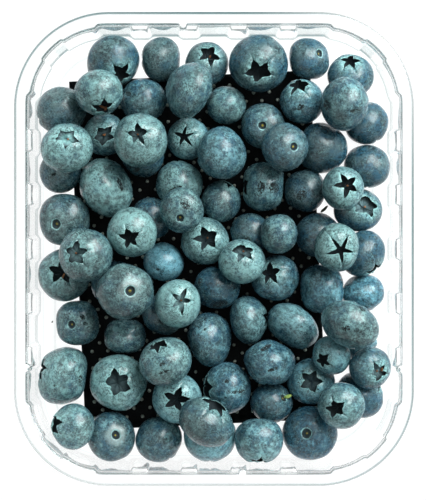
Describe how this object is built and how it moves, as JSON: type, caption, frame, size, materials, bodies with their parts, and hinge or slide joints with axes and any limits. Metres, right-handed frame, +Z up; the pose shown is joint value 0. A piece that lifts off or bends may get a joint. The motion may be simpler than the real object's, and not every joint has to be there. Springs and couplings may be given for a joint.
{
  "type": "punnet of blueberries",
  "caption": "Open clear fluted tray with a flanged rim, an absorbent pad on its floor and a loose heap of blueberries in about two layers.",
  "frame": {"origin": "under the middle of the tray's base, on the surface it stands on", "axes": "+Z up, +Y along the tray's longer side, +X across it"},
  "size_m": [0.1218, 0.1438, 0.041],
  "materials": {
    "clear_sheet": "clear thermoformed plastic sheet, glossy, cool grey tint at its edges",
    "pad_film": "black film with rows of pale embossed dots",
    "berry_skin": "blue-black skin under a pale waxy bloom"
  },
  "bodies": {
    "root": {"tray": "clear_sheet", "pad": "pad_film", "berry_heap": "berry_skin"}
  },
  "joints": []
}
